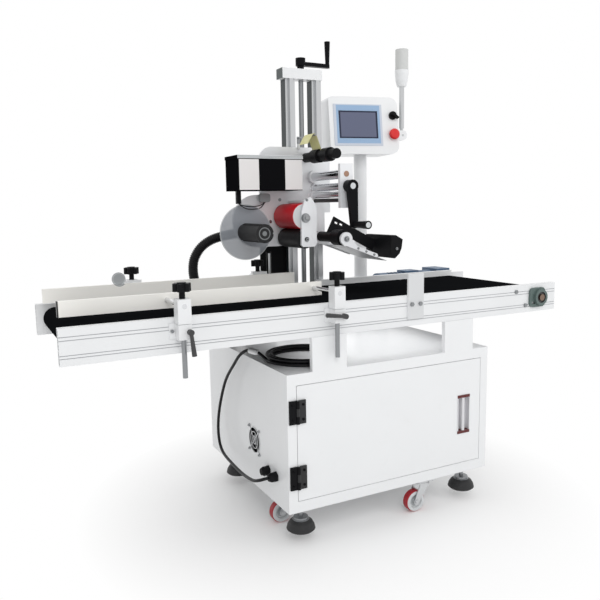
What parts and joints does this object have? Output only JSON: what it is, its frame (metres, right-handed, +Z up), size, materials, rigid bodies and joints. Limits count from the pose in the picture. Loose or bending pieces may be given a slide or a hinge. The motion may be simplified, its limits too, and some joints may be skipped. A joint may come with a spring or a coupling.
{
  "type": "flat surface labeling machine",
  "caption": "Flat surface labeling machine: belt conveyor with guide rails on a wheeled cabinet, lift column with label head, operator panel and lamp.",
  "frame": {"origin": "middle of the machine in X and Y, on the floor under the caster wheels", "axes": "+X along the belt towards the outfeed end, +Y away from the operator, +Z up"},
  "size_m": [1.5, 0.6394, 1.441],
  "materials": {
    "white_paint": "satin powder coat",
    "white_profile": "satin anodised",
    "cream_profile": "satin anodised",
    "belt_black": "matt",
    "bright_steel": "ground",
    "chrome_steel": "polished",
    "cast_green": "painted, semi-matt",
    "motor_grey": "cast, painted",
    "black_plastic": "matt",
    "black_metal": "semi-gloss",
    "foot_rubber": "matt",
    "tread_red": "satin",
    "roller_red": "matt",
    "roller_black": "matt",
    "clear_disc": "clear",
    "panel_blue": "gloss",
    "button_red": "gloss",
    "lamp_white": "satin",
    "gear_grey": "matt"
  },
  "bodies": {
    "machine": {"cabinet_shell": "white_paint", "electrical_panel": "gear_grey", "door_hinges": "black_metal", "fan_frame": "black_plastic", "cable_glands": "black_plastic", "levelling_feet": "foot_rubber", "caster_mounts": "bright_steel", "conveyor_posts": "white_paint", "front_rail": "white_profile", "back_rail": "white_profile", "belt_bed": "bright_steel", "conveyor_belt": "belt_black", "roller_bearings": "cast_green", "gear_motor": "motor_grey", "column_frame": "white_profile", "side_panel": "black_metal", "hmi_post": "white_paint", "guide_brackets": "white_profile", "cable_coil": "belt_black", "side_cable": "belt_black", "head_conduit": "black_plastic"},
    "door": {"cabinet_door": "white_paint", "door_fittings": "chrome_steel"},
    "drive_roller_body": {"drive_roller": "bright_steel"},
    "idler_roller_body": {"idler_roller": "bright_steel"},
    "fan_rotor_body": {"fan_rotor": "black_plastic"},
    "lift": {"lift_carriage": "white_profile", "cross_rods": "chrome_steel"},
    "lift_crank_body": {"lift_crank": "black_metal"},
    "side_crank_body": {"side_crank": "black_metal"},
    "head": {"head_plate": "white_profile", "drive_box": "black_metal", "web_guides": "bright_steel", "nip_bracket": "white_profile"},
    "reel": {"label_reel": "clear_disc"},
    "red_roller_body": {"red_roller": "roller_red"},
    "black_roller_body": {"black_roller": "roller_black"},
    "collar_shaft_body": {"collar_shaft": "black_plastic"},
    "peel_arm": {"peel_cheeks": "white_profile", "press_unit": "black_plastic"},
    "hmi": {"hmi_box": "white_paint", "hmi_screen": "panel_blue"},
    "selector": {"selector_knob": "black_plastic"},
    "estop": {"estop_button": "button_red"},
    "lamp": {"signal_lamp": "lamp_white"},
    "fork_front_left": {"front_left_fork": "bright_steel"},
    "fork_front_right": {"front_right_fork": "bright_steel"},
    "wheel_front_left": {"front_left_wheel": "tread_red"},
    "wheel_front_right": {"front_right_wheel": "tread_red"},
    "wheel_back_left": {"back_left_wheel": "tread_red"},
    "wheel_back_right": {"back_right_wheel": "tread_red"},
    "height_rods": {"front_guide_blocks": "white_profile"},
    "guide_front": {"front_guide": "cream_profile"},
    "guide_back": {"back_guide": "cream_profile"},
    "knob_front_left": {"front_left_knob": "black_plastic"},
    "knob_front_right": {"front_right_knob": "black_plastic"},
    "knob_back_left": {"back_left_knob": "black_plastic"},
    "knob_back_right": {"back_right_knob": "black_plastic"},
    "lever_front_left": {"front_left_lever": "bright_steel"},
    "lever_front_right": {"front_right_lever": "black_metal"}
  },
  "joints": [
    {"name": "door_hinge", "type": "hinge", "parent": "machine", "child": "door", "pos_m": [-0.176, -0.27527, 0.289], "axis": [0, 0, -1], "range_deg": [0, 110]},
    {"name": "drive_roller_spin", "type": "hinge", "parent": "machine", "child": "drive_roller_body", "pos_m": [0.678, -0.04127, 0.613], "axis": [0, 1, 0], "continuous": true},
    {"name": "idler_roller_spin", "type": "hinge", "parent": "machine", "child": "idler_roller_body", "pos_m": [-0.702, -0.04127, 0.613], "axis": [0, 1, 0], "continuous": true},
    {"name": "fan_spin", "type": "hinge", "parent": "machine", "child": "fan_rotor_body", "pos_m": [-0.19, -0.04927, 0.238], "axis": [1, 0, 0], "continuous": true},
    {"name": "lift_crank_turn", "type": "hinge", "parent": "machine", "child": "lift_crank_body", "pos_m": [0.109, 0.22473, 1], "axis": [0, 0, 1], "range_deg": [-14400, 2520]},
    {"name": "lift_slide", "type": "slide", "parent": "machine", "child": "lift", "axis": [0, 0, 1], "range_m": [-0.036, 0.2005]},
    {"name": "side_crank_turn", "type": "hinge", "parent": "lift", "child": "side_crank_body", "pos_m": [0.105, 0.03272, 0.963], "axis": [0, 1, 0], "range_deg": [-576, 1620]},
    {"name": "cross_slide", "type": "slide", "parent": "lift", "child": "head", "axis": [0, 1, 0], "range_m": [-0.0227, 0.0082]},
    {"name": "reel_spin", "type": "hinge", "parent": "head", "child": "reel", "pos_m": [-0.151, 0.03272, 0.832], "axis": [0, 1, 0], "continuous": true},
    {"name": "red_roller_spin", "type": "hinge", "parent": "head", "child": "red_roller_body", "pos_m": [-0.007, 0.06273, 0.877], "axis": [0, 1, 0], "continuous": true},
    {"name": "black_roller_spin", "type": "hinge", "parent": "head", "child": "black_roller_body", "pos_m": [-0.004, 0.06273, 0.8101], "axis": [0, 1, 0], "continuous": true},
    {"name": "collar_shaft_spin", "type": "hinge", "parent": "head", "child": "collar_shaft_body", "pos_m": [0.075, 0.06273, 1.058], "axis": [0, 1, 0], "continuous": true},
    {"name": "peel_tilt", "type": "hinge", "parent": "head", "child": "peel_arm", "pos_m": [0.094, 0.02272, 0.812], "axis": [0, -1, 0], "range_deg": [-8, 25]},
    {"name": "panel_swivel", "type": "hinge", "parent": "machine", "child": "hmi", "pos_m": [0.334, 0.22273, 1.076], "axis": [0, 0, 1], "range_deg": [-45, 45]},
    {"name": "selector_turn", "type": "hinge", "parent": "hmi", "child": "selector", "pos_m": [0.41516, 0.14763, 1.20369], "axis": [-0.2057, -0.9676, 0.1465], "range_deg": [-45, 45]},
    {"name": "estop_push", "type": "slide", "parent": "hmi", "child": "estop", "axis": [0.2057, 0.9676, -0.1465], "range_m": [0, 0.005], "stiffness_N_per_m": 900, "springref_m": -0.002},
    {"name": "lamp_fold", "type": "hinge", "parent": "hmi", "child": "lamp", "pos_m": [0.46718, 0.1663, 1.142], "axis": [0.2079, 0.9781, 0], "range_deg": [0, 90]},
    {"name": "front_left_swivel", "type": "hinge", "parent": "machine", "child": "fork_front_left", "pos_m": [-0.124, -0.10428, 0.08], "axis": [0, 0, 1], "continuous": true},
    {"name": "front_left_wheel_spin", "type": "hinge", "parent": "fork_front_left", "child": "wheel_front_left", "pos_m": [-0.152, -0.10428, 0.0325], "axis": [0, 1, 0], "continuous": true},
    {"name": "front_right_swivel", "type": "hinge", "parent": "machine", "child": "fork_front_right", "pos_m": [0.253, -0.23728, 0.08], "axis": [0, 0, 1], "continuous": true},
    {"name": "front_right_wheel_spin", "type": "hinge", "parent": "fork_front_right", "child": "wheel_front_right", "pos_m": [0.225, -0.23728, 0.0325], "axis": [0, 1, 0], "continuous": true},
    {"name": "back_left_wheel_spin", "type": "hinge", "parent": "machine", "child": "wheel_back_left", "pos_m": [0.015, 0.28673, 0.0325], "axis": [0, 1, 0], "continuous": true},
    {"name": "back_right_wheel_spin", "type": "hinge", "parent": "machine", "child": "wheel_back_right", "pos_m": [0.392, 0.15373, 0.0325], "axis": [0, 1, 0], "continuous": true},
    {"name": "front_guide_lift", "type": "slide", "parent": "machine", "child": "height_rods", "axis": [0, 0, 1], "range_m": [0, 0.06]},
    {"name": "front_guide_slide", "type": "slide", "parent": "height_rods", "child": "guide_front", "axis": [0, 1, 0], "range_m": [-0.08, 0.015]},
    {"name": "back_guide_slide", "type": "slide", "parent": "machine", "child": "guide_back", "axis": [0, 1, 0], "range_m": [-0.06, 0.015]},
    {"name": "front_left_knob_turn", "type": "hinge", "parent": "height_rods", "child": "knob_front_left", "pos_m": [-0.476, -0.28728, 0.72], "axis": [0, 0, 1], "range_deg": [-180, 180]},
    {"name": "front_right_knob_turn", "type": "hinge", "parent": "height_rods", "child": "knob_front_right", "pos_m": [-0.062, -0.28728, 0.72], "axis": [0, 0, 1], "range_deg": [-180, 180]},
    {"name": "back_left_knob_turn", "type": "hinge", "parent": "machine", "child": "knob_back_left", "pos_m": [-0.476, 0.20472, 0.72], "axis": [0, 0, 1], "range_deg": [-180, 180]},
    {"name": "back_right_knob_turn", "type": "hinge", "parent": "machine", "child": "knob_back_right", "pos_m": [-0.07, 0.20472, 0.72], "axis": [0, 0, 1], "range_deg": [-180, 180]},
    {"name": "front_left_lever_turn", "type": "hinge", "parent": "machine", "child": "lever_front_left", "pos_m": [-0.466, -0.31128, 0.624], "axis": [0, 1, 0], "range_deg": [-60, 60]},
    {"name": "front_right_lever_turn", "type": "hinge", "parent": "machine", "child": "lever_front_right", "pos_m": [-0.052, -0.31128, 0.624], "axis": [0, 1, 0], "range_deg": [-60, 60]}
  ],
  "couplings": [
    {"joint": "idler_roller_spin", "follows": "drive_roller_spin", "ratio": 1},
    {"joint": "lift_slide", "follows": "lift_crank_turn", "m_per_rad": -0.00079577},
    {"joint": "cross_slide", "follows": "side_crank_turn", "m_per_rad": -0.00079577},
    {"joint": "black_roller_spin", "follows": "red_roller_spin", "ratio": -1.3333}
  ]
}
